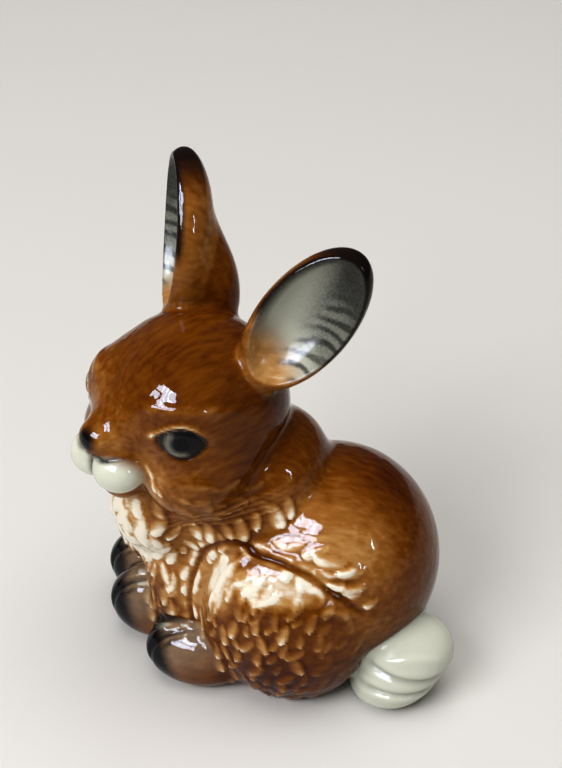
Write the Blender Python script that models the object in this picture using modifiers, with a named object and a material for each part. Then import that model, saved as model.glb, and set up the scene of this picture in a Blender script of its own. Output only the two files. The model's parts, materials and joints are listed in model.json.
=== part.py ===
"""A seated hare, a small figurine slip-cast in one piece and glazed.

Lengths below are millimetres, and the scene is in metres. X is the hare's left, it sits facing -Y,
and Z is up. Plain ellipsoids are fused into one skin with a voxel remesh. Each point of the skin is
then moved onto the surface where the same ellipsoids blend, as a modeller smooths clay over its
lumps. The locks of fur, the creases and the eyes are then carved into it along its normals.
"""

import math

import bmesh
import bpy
import numpy as np
from mathutils import Matrix, Vector

MM = 0.001
VOXEL = 0.6
FINISHED_TRIANGLES = 9600
FUR_THINNING = 0.7
CARVED_FROM = 0.02
GLAZE_COLOUR = (0.25, 0.09, 0.015, 1.0)
GLAZE_ROUGHNESS = 0.06
SPHERE_SEGMENTS, SPHERE_RINGS = 32, 20
PROJECTION_STEPS = 6
SLOPE_STEP = 0.02
LARGEST_STEP = 0.6

HEAD_CENTRE = (0.0, -11.5, 46.5)
HEAD_TURN = (0.0, -2.0, 50.0)
EAR_LENGTH = 25.5
EAR_WIDTH = 14.2
EAR_DEPTH = 10.0
EAR_RIM = 0.9

# A form is its centre, its three radii, its turn in degrees about X, Y and Z, and how widely it
# blends.
BODY = {
    "rump": ((0, 11.5, 18.5), (17.5, 17.5, 19), (0, 0, 0), 4),
    "belly": ((0, 0, 15), (15, 16, 16.5), (0, 0, 0), 6),
    "seat": ((0, 3, 2), (15, 20, 4), (0, 0, 0), 3),
    "shoulders": ((-1, -3, 30), (14, 13, 14), (0, 0, 0), 3),
    "nape": ((0, 1, 36), (11, 9.5, 9), (0, 0, 0), 2),
    "chest": ((-2, -14.5, 23.5), (10.5, 11, 11.5), (0, 0, 0), 4),
    "ruff": ((6.5, -16, 30.5), (7, 7.3, 8), (0, 0, 0), 4),
}
LEGS = {
    "left foreleg": ((6.3, -10.3, 11.5), (6.3, 7.4, 12.3), (10, 0, 0), 3),
    "right foreleg": ((-9, -12, 11.5), (6, 7.4, 12.3), (10, 0, 0), 3),
    "left haunch": ((12.4, 5.8, 14), (8.8, 13.6, 15.4), (14, 0, 0), 0.8),
    "right haunch": ((-12.4, 5.8, 14), (8.8, 13.6, 15.4), (14, 0, 0), 0.8),
    "left hind foot": ((12.6, -8.4, 5.1), (6, 9.3, 6.1), (0, 0, 0), 1.6),
    "right hind foot": ((-14.2, -8.4, 5.1), (6, 9.3, 6.1), (0, 0, 0), 1.6),
    "left forepaw": ((3, -17.6, 6.1), (6.1, 8.6, 6.8), (0, 0, 0), 1.6),
    "right forepaw": ((-6.3, -20.4, 6.1), (6, 8.4, 6.8), (0, 0, 0), 1.6),
    "upper tail": ((9.5, 25, 7.6), (7.6, 8, 5.2), (12, 8, 0), 1),
    "lower tail": ((10, 23.8, 4.6), (8, 7.6, 4.2), (10, 4, 0), 0.6),
    "tail tip": ((9.8, 23, 2.4), (7.8, 7, 3), (6, 0, 0), 0.6),
}
# The head's forms are placed from the middle of the skull, with -Y towards the nose.
HEAD = {
    "skull": ((0.2, 0.4, -0.3), (15.2, 15.0, 14.7), (0, 0, 0), 1.5),
    "left cheek": ((8.5, -5, -6), (7.5, 9, 7.5), (0, 0, 0), 4),
    "right cheek": ((-8.5, -5, -6), (7.5, 9, 7.5), (0, 0, 0), 4),
    "bridge": ((0, -11.3, 0.9), (5.4, 8.4, 5.2), (0, 0, 0), 4),
    "left brow": ((5.6, -6.6, 6.2), (7.8, 7.0, 6.6), (0, 0, 0), 6),
    "right brow": ((-6.4, -7.8, 4.2), (5.2, 5.4, 4.7), (0, 0, 0), 4),
    "left eye": ((8.8, -8.4, 2.6), (4.2, 4.2, 3.4), (0, 0, 0), 1.5),
    "right eye": ((-8.8, -8.4, 2.6), (4.2, 4.2, 3.4), (0, 0, 0), 1.5),
    "left lip": ((3.0, -16.4, -3.6), (4.2, 4.1, 3.7), (0, 0, 0), 1.2),
    "right lip": ((-3.0, -16.4, -3.6), (4.2, 4.1, 3.7), (0, 0, 0), 1.2),
    "chin": ((0, -13.5, -8), (4, 4, 3.5), (0, 0, 0), 1.5),
    "nose": ((0, -18.4, 1.2), (2.8, 2.0, 2.3), (0, 0, 0), 1.5),
}
PAWS = ("left forepaw", "right forepaw", "left hind foot", "right hind foot")
TOE_GROOVE = (0.7, -0.7)
TOE_GROOVE_ASIDE = 0.33
TOE_GROOVE_FROM, TOE_GROOVE_TO = -15, 80
# A stroke is carved along the skin between three points, with its half width and its height, below
# nought for a groove. These part the left haunch and the tail, and the right haunch mirrors the
# first two.
STROKES = [
    ((13.2, -3.5, 29.2), (15.5, 7.5, 27.5), (16.0, 18.5, 20.5), 0.8, -0.9),
    ((13.2, -3.5, 29.2), (12.5, -9.5, 22.0), (13.0, -9.0, 9.0), 0.8, -0.7),
    ((14.6, 18.5, 9.0), (16.6, 25.0, 7.6), (12.0, 33.0, 6.8), 0.8, -1.1),
    ((14.5, 17.0, 4.8), (17.5, 24.8, 5.0), (12.5, 32.0, 4.0), 0.7, -0.9),
]
STROKES += [((-a[0], *a[1:]), (-b[0], *b[1:]), (-c[0], *c[1:]), *size) for a, b, c, *size in STROKES[:2]]
STROKE_POINTS = 24
STROKE_REACH = 3
# No fur grows in a groove deeper than this.
BARE_GROOVE = 0.35
# The eye lies on the side of the head: its middle, the way to its rear corner, its half length, and
# how far it opens above and below. The fold of the lids lies where its level is LID_LEVEL, and the
# lids' edge is level 1.
EYE_MIDDLE = (11.9, -10.8, 3.3)
EYE_REARWARD = (0.63, 0.76, -0.12)
EYE_HALF_LENGTH = 3.5
EYE_ABOVE = 2.3
EYE_BELOW = 2.7
EYE_DEPTH = 0.35
LID_LEVEL, LID_WIDTH, LID_HEIGHT = 1.4, 0.3, 0.35
# A patch of fur is the form it grows on, the way out to its middle, the way its locks point, half
# its size across and along the locks, the spacing of the locks both ways, and each lock's length,
# width and height.
SHORT_LOCK = (4.2, 2.8, 0.7)
LONG_LOCK = (5.4, 3.0, 0.9)
FUR = [
    ("left haunch", (1, -0.05, 0.1), (0.1, -0.15, -1), (16, 15), (3.1, 3.6), SHORT_LOCK),
    ("right haunch", (-1, -0.05, 0.1), (-0.1, -0.15, -1), (16, 15), (3.1, 3.6), SHORT_LOCK),
    ("rump", (1, -0.1, 0.35), (0.3, 0.9, -1), (9, 3.5), (3.4, 4.2), LONG_LOCK),
    ("rump", (-1, -0.1, 0.35), (-0.3, 0.9, -1), (9, 3.5), (3.4, 4.2), LONG_LOCK),
    ("chest", (0.3, -1, -0.1), (0.1, 0, -1), (13, 9), (3.3, 4.0), LONG_LOCK),
    ("left foreleg", (1, -0.5, 0.5), (0.1, -0.2, -1), (5, 6), (2.7, 3.2), SHORT_LOCK),
    ("right foreleg", (-1, -0.5, 0.5), (0.1, -0.2, -1), (5, 6), (2.7, 3.2), SHORT_LOCK),
    ("shoulders", (1, -0.1, -0.1), (0.2, 0.5, -1), (11, 6), (3.0, 4.2), LONG_LOCK),
    ("shoulders", (-1, -0.1, -0.1), (-0.2, 0.5, -1), (11, 6), (3.0, 4.2), LONG_LOCK),
]
LOCK_LEAN, LOCK_VARIETY, ROW_WAVE = 0.35, 0.18, 0.5
# How far a lock's root may move to reach the skin, and how far the skin there may turn from the
# form it grows on.
ROOT_SHIFT, ROOT_FACING = 2.5, 0.5
# Each ear's root and the way it grows, from the middle of the skull, and how far it faces outwards,
# in degrees.
EARS = {
    "left ear": ((9.5, 7, 8), (11.5, 9.5, 20), 33),
    "right ear": ((-6, 7, 11.5), (-8.2, 4.2, 23), -26),
}


def turning(turn):
    """The rotation matrix of three angles in degrees, about X first and Z last."""
    x, y, z = (math.radians(angle) for angle in turn)
    return Matrix.Rotation(z, 4, "Z") @ Matrix.Rotation(y, 4, "Y") @ Matrix.Rotation(x, 4, "X")


def head_frame():
    return Matrix.Translation(HEAD_CENTRE) @ turning(HEAD_TURN)


def ear_frame(root, growth, outwards):
    """The ear's own frame: Z runs from root to tip and -Y looks out of its hollow."""
    along = Vector(growth).normalized()
    facing = Vector((math.sin(math.radians(outwards)), -math.cos(math.radians(outwards)), 0))
    behind = -(facing - along * facing.dot(along)).normalized()
    across = behind.cross(along)
    axes = Matrix((across, behind, along)).transposed().to_4x4()
    return head_frame() @ Matrix.Translation(root) @ axes


def placed(forms, frame=Matrix()):
    """Each form as its matrix from a unit sphere, its radii and its blend."""
    found = []
    for centre, radii, turn, blend in forms:
        found.append((frame @ Matrix.Translation(centre) @ turning(turn), np.array(radii, float), blend))
    return found


def solid_forms():
    return placed(BODY.values()) + placed(LEGS.values()) + placed(HEAD.values(), head_frame())


def ear_forms():
    """For each ear, the form of its leaf, the thick root behind it and the form that hollows it."""
    found = []
    for ear in EARS.values():
        half = EAR_LENGTH / 2
        leaf = ((0, -1.5, half - 1), (EAR_WIDTH / 2, EAR_DEPTH / 2, half + 1), (-8, 0, 0), 1.5)
        heel = ((0, 2, 5), (4.6, 4.5, 9), (8, 0, 0), 3)
        hollow = (
            (0, -EAR_DEPTH / 2 - 0.5, half + 0.5),
            (EAR_WIDTH / 2 - EAR_RIM, EAR_DEPTH / 2 + 1.3, half - EAR_RIM),
            (-6, 0, 0),
            0.8,
        )
        found.append(placed([leaf, heel, hollow], ear_frame(*ear)))
    return found


SOLID_FORMS = solid_forms()
EAR_FORMS = ear_forms()


def distance(points, form):
    """Roughly how far each point lies outside an ellipsoid."""
    matrix, radii, _ = form
    inverse = np.array(matrix.inverted())
    local = points @ inverse[:3, :3].T + inverse[:3, 3]
    level = np.linalg.norm(local / radii, axis=1)
    slope = np.linalg.norm(local / radii**2, axis=1)
    return level * (level - 1) / np.maximum(slope, 1e-9)


def blended(a, b, width):
    """The smaller of two distances, rounded where they cross."""
    overlap = np.maximum(width - np.abs(a - b), 0) / width
    return np.minimum(a, b) - overlap**2 * width / 4


def skin_distance(points):
    """How far each point lies outside the blended clay."""
    skin = None
    for form in SOLID_FORMS:
        gap = distance(points, form)
        skin = gap if skin is None else blended(skin, gap, form[2])
    for leaf, heel, hollow in EAR_FORMS:
        whole = blended(distance(points, leaf), distance(points, heel), heel[2])
        ear = -blended(-whole, distance(points, hollow), hollow[2])
        skin = blended(skin, ear, leaf[2])
    return skin


def skin_slope(points):
    """The direction in which the skin's distance grows, which is the skin's normal near it."""
    steps = SLOPE_STEP * np.eye(3)
    rises = [skin_distance(points + step) - skin_distance(points - step) for step in steps]
    return np.stack(rises, axis=1) / (2 * SLOPE_STEP)


def move_onto_skin(points):
    """Moves points along the skin's slope until they lie on it."""
    for _ in range(PROJECTION_STEPS):
        slope = skin_slope(points)
        size = np.maximum((slope**2).sum(axis=1, keepdims=True), 0.2)
        points = points - np.clip(skin_distance(points)[:, None] / size, -LARGEST_STEP, LARGEST_STEP) * slope
    return points


def unit(vectors):
    return vectors / np.maximum(np.linalg.norm(vectors, axis=-1, keepdims=True), 1e-9)


def lock_roots(patch):
    """The middles of a patch's locks on the skin, the skin's normals there, and the way the locks point."""
    name, outward, pointing, half_size, spacing, _ = patch
    matrix, radii, _ = placed([{**BODY, **LEGS}[name]])[0]
    centre = np.array(matrix.translation)
    outward, pointing = unit(np.array(outward, float)), np.array(pointing, float)
    down = unit(pointing - outward * (pointing @ outward))
    across = np.cross(down, outward)
    rows, columns = (int(half / gap) for half, gap in zip(half_size[::-1], spacing[::-1]))
    roots = []
    for row in range(-rows, rows + 1):
        for column in range(-columns, columns + 1):
            side = (column + 0.5 * (row % 2)) * spacing[0]
            along = row * spacing[1] + ROW_WAVE * math.sin(2.4 * column + row)
            if (side / half_size[0]) ** 2 + (along / half_size[1]) ** 2 > 1:
                continue
            reach = radii.mean()
            ray = unit(outward * reach + across * side + down * along)
            roots.append(centre + ray / np.linalg.norm(ray / radii))
    roots = np.array(roots)
    settled = move_onto_skin(roots)
    normals = unit(skin_slope(settled))
    near = np.linalg.norm(settled - roots, axis=1) < ROOT_SHIFT
    near &= (unit(roots - centre) * normals).sum(axis=1) > ROOT_FACING
    settled, normals = settled[near], normals[near]
    return settled, normals, unit(down - normals * (normals @ down)[:, None])


def bent(start, middle, end):
    """A curve that leaves its start, passes its middle and reaches its end."""
    share = np.linspace(0, 1, STROKE_POINTS)[:, None]
    start, middle, end = (np.array(point, float) for point in (start, middle, end))
    through = 2 * middle - (start + end) / 2
    return start * (1 - share) ** 2 + 2 * through * share * (1 - share) + end * share**2


def toe_grooves():
    """Two lines over the front of each paw."""
    lines = []
    for name in PAWS:
        matrix, radii, _ = placed([LEGS[name]])[0]
        for side in (-TOE_GROOVE_ASIDE, TOE_GROOVE_ASIDE):
            angles = np.radians(np.linspace(TOE_GROOVE_FROM, TOE_GROOVE_TO, STROKE_POINTS))
            rays = np.stack([np.full(STROKE_POINTS, side), -np.cos(angles), np.sin(angles)], axis=1)
            rays /= np.linalg.norm(rays / radii, axis=1, keepdims=True)
            lines.append(rays @ np.array(matrix)[:3, :3].T + np.array(matrix.translation))
    return lines


def stroke_relief(points, line, width, height):
    """A soft ridge, or a groove where its height is below nought, along a line laid on the skin."""
    relief = np.zeros(len(points))
    line = move_onto_skin(line)
    low, high = line.min(axis=0) - STROKE_REACH * width, line.max(axis=0) + STROKE_REACH * width
    near = ((points > low) & (points < high)).all(axis=1)
    gaps = np.linalg.norm(points[near][:, None] - line[None], axis=2).min(axis=1)
    relief[near] = height * np.exp(-((gaps / width) ** 2))
    return relief


def strokes(points):
    relief = sum(stroke_relief(points, line, *TOE_GROOVE) for line in toe_grooves())
    for start, middle, end, width, height in STROKES:
        relief += stroke_relief(points, bent(start, middle, end), width, height)
    return relief


def eye_relief(points):
    """The edge round each eyeball and the fold of its lids, the same on both sides of the head."""
    inverse = np.array(head_frame().inverted())
    head = points @ inverse[:3, :3].T + inverse[:3, 3]
    head[:, 0] = np.abs(head[:, 0])
    rearward = unit(np.array(EYE_REARWARD))
    upward = unit(np.array((0, 0, 1)) - rearward * rearward[2])
    offset = head - np.array(EYE_MIDDLE)
    up = offset @ upward
    level = np.hypot(offset @ rearward / EYE_HALF_LENGTH, up / np.where(up > 0, EYE_ABOVE, EYE_BELOW))
    near = np.linalg.norm(offset, axis=1) < STROKE_REACH * EYE_HALF_LENGTH
    edge = -EYE_DEPTH * np.exp(-(((level - 1) / LID_WIDTH) ** 2))
    fold = LID_HEIGHT * np.exp(-(((level - LID_LEVEL) / LID_WIDTH) ** 2))
    return near * (edge + fold)


def fur_relief(points, normals):
    """How far the locks of fur stand out of the skin at each point."""
    relief = np.zeros(len(points))
    for patch in FUR:
        for number, (root, out, down) in enumerate(zip(*lock_roots(patch))):
            across = np.cross(out, down)
            lean = LOCK_LEAN * math.sin(5.1 * number)
            down = down * math.cos(lean) + across * math.sin(lean)
            length, width, height = np.array(patch[5]) * (1 + LOCK_VARIETY * math.sin(3.7 * number))
            offset = points - root
            near = (np.abs(offset).max(axis=1) < length) & (normals @ out > 0.2)
            offset = offset[near]
            along = offset @ down / length + 0.5
            side = offset @ np.cross(out, down) / (width / 2)
            inside = (along > 0) & (along < 1)
            taper = np.where(inside, np.sqrt(np.clip(1 - np.clip(along, 0, 1) ** 2.5, 0, 1)), 0)
            body = np.clip(1 - (side / np.maximum(taper, 0.05)) ** 2, 0, 1) ** 0.7
            rise = np.clip(along, 0, 1) ** 0.6
            relief[near] = np.maximum(relief[near], height * body * rise * inside)
    return relief


def ellipsoid(name, form):
    """A mesh object of one form."""
    matrix, radii, _ = form
    bm = bmesh.new()
    bmesh.ops.create_uvsphere(
        bm,
        u_segments=SPHERE_SEGMENTS,
        v_segments=SPHERE_RINGS,
        radius=1.0,
        matrix=matrix @ Matrix.Diagonal((*radii, 1.0)),
    )
    return object_from(name, bm)


def object_from(name, bm):
    mesh = bpy.data.meshes.new(name)
    bm.to_mesh(mesh)
    bm.free()
    made = bpy.data.objects.new(name, mesh)
    bpy.context.scene.collection.objects.link(made)
    return made


def applied(made):
    """Gives the object the mesh that its modifiers make."""
    bpy.context.view_layer.update()
    graph = bpy.context.evaluated_depsgraph_get()
    mesh = bpy.data.meshes.new_from_object(made.evaluated_get(graph))
    made.modifiers.clear()
    made.data = mesh
    return made


def hollowed(leaf, heel, hollow):
    """An ear: its leaf and heel, with the hollow cut out of them."""
    ear = ellipsoid("ear", leaf)
    for operation, form in (("UNION", heel), ("DIFFERENCE", hollow)):
        tool = ellipsoid("ear tool", form)
        cut = ear.modifiers.new("cut", "BOOLEAN")
        cut.operation = operation
        cut.object = tool
        applied(ear)
        bpy.data.objects.remove(tool)
    return ear


def fused(parts):
    """One closed skin around all the parts."""
    bm = bmesh.new()
    for part in parts:
        bm.from_mesh(part.data)
        bpy.data.objects.remove(part)
    made = object_from("hare", bm)
    skin = made.modifiers.new("skin", "REMESH")
    skin.mode = "VOXEL"
    skin.voxel_size = VOXEL
    return applied(made)


def sculpt(made):
    """Moves the mesh onto the skin and carves it, and marks what is carved so that it is thinned less."""
    points = np.empty(len(made.data.vertices) * 3)
    made.data.vertices.foreach_get("co", points)
    points = move_onto_skin(points.reshape(-1, 3))
    normals = unit(skin_slope(points))
    carving = strokes(points)
    bare = np.clip(-carving / BARE_GROOVE, 0, 1)
    relief = fur_relief(points, normals) * (1 - bare) + carving + eye_relief(points)
    points = points + normals * relief[:, None]
    made.data.vertices.foreach_set("co", points.ravel())
    carved = np.abs(relief) >= CARVED_FROM
    weights = made.vertex_groups.new(name="smooth")
    weights.add(np.flatnonzero(~carved).tolist(), 1.0, "REPLACE")
    weights.add(np.flatnonzero(carved).tolist(), FUR_THINNING, "REPLACE")


def thinned(made):
    faces = sum(len(face.vertices) - 2 for face in made.data.polygons)
    thin = made.modifiers.new("thin", "DECIMATE")
    thin.ratio = FINISHED_TRIANGLES / faces
    thin.vertex_group = "smooth"
    return applied(made)


def cut_foot(made):
    """Cuts the underside flat and brings the mesh to metres, on the middle of its box."""
    bm = bmesh.new()
    bm.from_mesh(made.data)
    cut = bmesh.ops.bisect_plane(
        bm,
        geom=bm.verts[:] + bm.edges[:] + bm.faces[:],
        dist=0.0001,
        plane_co=(0, 0, 0),
        plane_no=(0, 0, 1),
        clear_inner=True,
    )
    rim = [piece for piece in cut["geom_cut"] if isinstance(piece, bmesh.types.BMEdge)]
    bmesh.ops.holes_fill(bm, edges=rim)
    bmesh.ops.triangulate(bm, faces=[face for face in bm.faces if len(face.verts) > 4])
    across, along = ([vertex.co[axis] for vertex in bm.verts] for axis in (0, 1))
    middle = Vector(((min(across) + max(across)) / 2, (min(along) + max(along)) / 2, 0))
    bmesh.ops.translate(bm, vec=-middle, verts=bm.verts)
    bmesh.ops.scale(bm, vec=(MM, MM, MM), verts=bm.verts)
    bm.to_mesh(made.data)
    bm.free()


def glaze_material():
    """The brown glaze over the white body, in one colour."""
    glaze = bpy.data.materials.new("brown glaze")
    glaze.use_nodes = True
    shader = glaze.node_tree.nodes["Principled BSDF"]
    shader.inputs["Base Color"].default_value = GLAZE_COLOUR
    shader.inputs["Roughness"].default_value = GLAZE_ROUGHNESS
    shader.inputs["Metallic"].default_value = 0.0
    return glaze


def main():
    for old in list(bpy.data.objects):
        bpy.data.objects.remove(old)
    parts = [ellipsoid("lump", form) for form in SOLID_FORMS]
    parts += [hollowed(*forms) for forms in EAR_FORMS]
    hare = fused(parts)
    sculpt(hare)
    thinned(hare)
    cut_foot(hare)
    hare.data.shade_smooth()
    hare.data.materials.clear()
    hare.data.materials.append(glaze_material())
    collection = bpy.data.collections.new("hare figurine")
    bpy.context.scene.collection.children.link(collection)
    bpy.context.scene.collection.objects.unlink(hare)
    collection.objects.link(hare)


main()
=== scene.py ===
"""The looks of a small seated hare, slip-cast in white clay, painted and covered in brown glaze.

The glaze is one mesh that follows the solid at a finer grain. Its forms are the solid's own, in millimetres,
with X to the hare's left, the hare facing -Y and Z up. The glaze's depth, the black paint and the pale paint
are worked out at each point of the mesh, and the material turns them into colour.
"""

import json
import math

import bmesh
import bpy
import numpy as np
from mathutils import Matrix, Vector

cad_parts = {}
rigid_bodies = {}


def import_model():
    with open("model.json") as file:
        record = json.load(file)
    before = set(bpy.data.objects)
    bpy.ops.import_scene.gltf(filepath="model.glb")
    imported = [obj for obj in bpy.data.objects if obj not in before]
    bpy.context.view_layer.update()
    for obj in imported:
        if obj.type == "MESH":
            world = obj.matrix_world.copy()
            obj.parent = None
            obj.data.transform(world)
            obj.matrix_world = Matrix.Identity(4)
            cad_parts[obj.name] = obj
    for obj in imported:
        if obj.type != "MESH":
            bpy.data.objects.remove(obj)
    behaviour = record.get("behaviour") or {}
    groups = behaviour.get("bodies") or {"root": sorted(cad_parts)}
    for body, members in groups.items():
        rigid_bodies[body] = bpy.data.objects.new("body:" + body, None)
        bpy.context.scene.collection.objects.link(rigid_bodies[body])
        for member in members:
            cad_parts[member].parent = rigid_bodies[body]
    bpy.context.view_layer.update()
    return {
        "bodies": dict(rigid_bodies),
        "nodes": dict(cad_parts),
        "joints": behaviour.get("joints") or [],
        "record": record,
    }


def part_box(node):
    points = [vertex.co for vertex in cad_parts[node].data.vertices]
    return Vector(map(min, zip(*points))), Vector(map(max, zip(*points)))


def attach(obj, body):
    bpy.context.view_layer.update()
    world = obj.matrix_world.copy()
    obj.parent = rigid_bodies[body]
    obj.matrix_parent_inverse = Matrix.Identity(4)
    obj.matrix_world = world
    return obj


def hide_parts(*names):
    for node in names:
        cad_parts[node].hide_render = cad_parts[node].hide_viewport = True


MM = 0.001
VOXEL = 0.42
SPHERE_SEGMENTS, SPHERE_RINGS = 32, 20
PROJECTION_STEPS = 6
SLOPE_STEP = 0.02

HEAD_CENTRE = (0.0, -11.5, 46.5)
HEAD_TURN = (0.0, -2.0, 50.0)
EAR_LENGTH = 25.5
EAR_WIDTH = 14.2
EAR_DEPTH = 10.0
EAR_RIM = 0.55

# A form is its centre, its three radii, its turn in degrees about X, Y and Z, and how widely it blends.
BODY = {
    "rump": ((0, 11.5, 18.5), (17.5, 17.5, 19), (0, 0, 0), 4),
    "belly": ((0, 0, 15), (15, 16, 16.5), (0, 0, 0), 6),
    "seat": ((0, 3, 2), (15, 20, 4), (0, 0, 0), 3),
    "shoulders": ((-1, -3, 30), (14, 13, 14), (0, 0, 0), 3),
    "nape": ((0, 1, 36), (11, 9.5, 9), (0, 0, 0), 2),
    "chest": ((-2, -14.5, 23.5), (10.5, 11, 11.5), (0, 0, 0), 4),
    "ruff": ((6.5, -16, 30.5), (7, 7.3, 8), (0, 0, 0), 4),
}
LEGS = {
    "left foreleg": ((6.3, -10.3, 11.5), (6.3, 7.4, 12.3), (10, 0, 0), 3),
    "right foreleg": ((-9, -12, 11.5), (6, 7.4, 12.3), (10, 0, 0), 3),
    "left haunch": ((12.4, 5.8, 14), (8.8, 13.6, 15.4), (14, 0, 0), 0.8),
    "right haunch": ((-12.4, 5.8, 14), (8.8, 13.6, 15.4), (14, 0, 0), 0.8),
    "left hind foot": ((12.6, -8.4, 5.1), (6, 9.3, 6.1), (0, 0, 0), 1.6),
    "right hind foot": ((-14.2, -8.4, 5.1), (6, 9.3, 6.1), (0, 0, 0), 1.6),
    "left forepaw": ((3, -17.6, 6.1), (6.1, 8.6, 6.8), (0, 0, 0), 1.6),
    "right forepaw": ((-6.3, -20.4, 6.1), (6, 8.4, 6.8), (0, 0, 0), 1.6),
    "upper tail": ((9.5, 25, 7.6), (7.6, 8, 5.2), (12, 8, 0), 1),
    "lower tail": ((10, 23.8, 4.6), (8, 7.6, 4.2), (10, 4, 0), 0.6),
    "tail tip": ((9.8, 23, 2.4), (7.8, 7, 3), (6, 0, 0), 0.6),
}
# The head's forms are placed from the middle of the skull, with -Y towards the nose.
HEAD = {
    "skull": ((0.2, 0.4, -0.3), (15.2, 15.0, 14.7), (0, 0, 0), 1.5),
    "left cheek": ((8.5, -5, -6), (7.5, 9, 7.5), (0, 0, 0), 4),
    "right cheek": ((-8.5, -5, -6), (7.5, 9, 7.5), (0, 0, 0), 4),
    "bridge": ((0, -11.3, 0.9), (5.4, 8.4, 5.2), (0, 0, 0), 4),
    "left brow": ((5.6, -6.6, 6.2), (7.8, 7.0, 6.6), (0, 0, 0), 6),
    "right brow": ((-6.4, -7.8, 4.2), (5.2, 5.4, 4.7), (0, 0, 0), 4),
    "left eye": ((8.8, -8.4, 2.6), (4.2, 4.2, 3.4), (0, 0, 0), 1.5),
    "right eye": ((-8.8, -8.4, 2.6), (4.2, 4.2, 3.4), (0, 0, 0), 1.5),
    "left lip": ((3.0, -16.4, -3.6), (4.2, 4.1, 3.7), (0, 0, 0), 1.2),
    "right lip": ((-3.0, -16.4, -3.6), (4.2, 4.1, 3.7), (0, 0, 0), 1.2),
    "chin": ((0, -13.5, -8), (4, 4, 3.5), (0, 0, 0), 1.5),
    "nose": ((0, -18.4, 1.2), (2.8, 2.0, 2.3), (0, 0, 0), 1.5),
}
PAWS = ("right forepaw", "left forepaw", "left hind foot", "right hind foot")
TAIL = ("upper tail", "lower tail", "tail tip")
# Each ear's root and the way it grows, from the middle of the skull, and how many degrees it faces outwards.
EARS = {
    "left ear": ((9.5, 7, 8), (11.5, 9.5, 20), 33),
    "right ear": ((-6, 7, 11.5), (-8.2, 4.2, 23), -26),
}

# A tuft is its length, width and height, and how much paler it is than the glaze round it.
FINE_TUFT = (3.2, 1.9, 0.5, 0.3)
SHORT_TUFT = (3.2, 2.1, 0.5, 0.28)
LONG_TUFT = (4.4, 2.4, 0.6, 0.27)
CREAM_TUFT = (4.4, 1.7, 0.45, 0.12)
RUFF_TUFT = (4.2, 2.7, 0.7, 0.27)
LOCK = (5.2, 2.6, 0.5, 0.16)
BRUSHED_TUFT = (3.8, 1.5, 0.2, 0.08)
WHISKER_TUFT = (2.6, 1.2, 0.3, 0.26)
# A patch of fur is the form it grows on, the way out to its middle, the way its tufts point, how far they fan
# out in degrees from its middle to its side, half its size across and along the tufts, their spacing both
# ways, and its tuft.
PATCHES = [
    ("left haunch", (1, 0, 0.05), (0, -0.3, -1), 25, (14, 15), (2.4, 2.8), FINE_TUFT),
    ("left haunch", (1, 0, 0.05), (0, -0.9, -0.9), 30, (13.5, 14.5), (2.0, 2.5), CREAM_TUFT),
    ("chest", (0.8, -1, -0.1), (0.1, 0, -1), 20, (10, 11), (2.4, 3.0), LONG_TUFT),
    ("ruff", (1, -0.8, -0.1), (0.1, 0, -1), 20, (8, 9), (2.4, 3.0), LONG_TUFT),
    ("left foreleg", (1, -0.5, 0), (0.1, -0.2, -1), 15, (8, 12), (2.3, 2.7), SHORT_TUFT),
    ("shoulders", (1, -0.3, -0.3), (0.1, 0.1, -1), 15, (10, 9), (2.3, 2.7), SHORT_TUFT),
    ("left cheek", (1, -0.5, -0.3), (0.3, 0.9, -0.35), 25, (6.5, 7), (2.2, 2.9), BRUSHED_TUFT),
]
# A row of tufts is its two ends, its count, the way the tufts point, how far each curls in degrees, and its
# tuft.
ROWS = [
    ((14.5, -9, 31.5), (9.8, 5.6, 37.0), 7, (0.1, 0.0, -1), 20, RUFF_TUFT),
    ((12.6, 5.6, 31.2), (13.0, 12.5, 31.0), 3, (0.3, -0.8, -0.6), -35, LOCK),
    ((13.6, 12.5, 29.6), (13.6, 18.5, 28.0), 3, (0.3, -0.9, -0.5), -45, LOCK),
    ((15.6, 15.6, 26.2), (15.0, 21.0, 23.0), 3, (0.1, -0.8, -0.6), -30, SHORT_TUFT),
]
# A row on the cheek, placed from the middle of the skull.
HEAD_ROWS = [((7.2, -14.5, -1.9), (8.8, -13.6, -4.8), 3, (0.2, 0.5, -1), 10, WHISKER_TUFT)]
# The cream patches of the haunch, where longer ridges lie in place of tufts, each a centre and its radii.
CREAM = [((16.8, 4.0, 24.6), (5, 7.5, 2.6)), ((15.0, -3.2, 22.0), (4, 3.0, 5.5))]
# The haunch's tufts grow fainter from the first of these to the second, towards the rear, by this share.
FADE_FROM, FADE_TO, FADE = 7.0, 16.0, 0.7
TUFT_POINTS = 9
# Tufts of two patches are rooted at least this far apart.
ROOT_GAP = 1.7
# A root counts as on the skin within this distance of it, and lies at least this high above the foot.
ROOT_MISS, LOWEST_ROOT = 0.3, 0.8
# How far the tufts of a patch stray across it and along it, and how far they turn and curl, in radians.
STRAY_ACROSS, STRAY_ALONG, STRAY_TURN, STRAY_CURL = 0.45, 0.6, 0.35, 0.7
# How much the tufts of a patch and of a row vary in size.
PATCH_VARIETY, ROW_VARIETY = 0.25, 0.15
# The exponents of a tuft's shape: how near its tip it is widest, how blunt its ends and how flat its back.
TUFT_WIDEST, TUFT_BLUNT, TUFT_FLAT = 1.3, 2.5, 2.6
# Its crest leans this much to one side.
SKEW = 0.7
# Each tuft gets a painted highlight on the side that looks this way.
PAINTED_LIGHT_SIDE = (0, -0.25, -0.45)
# A patch's roots come in from this far outside the skin, in this many steps.
APPROACH, APPROACH_STEPS = 25, 40
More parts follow.
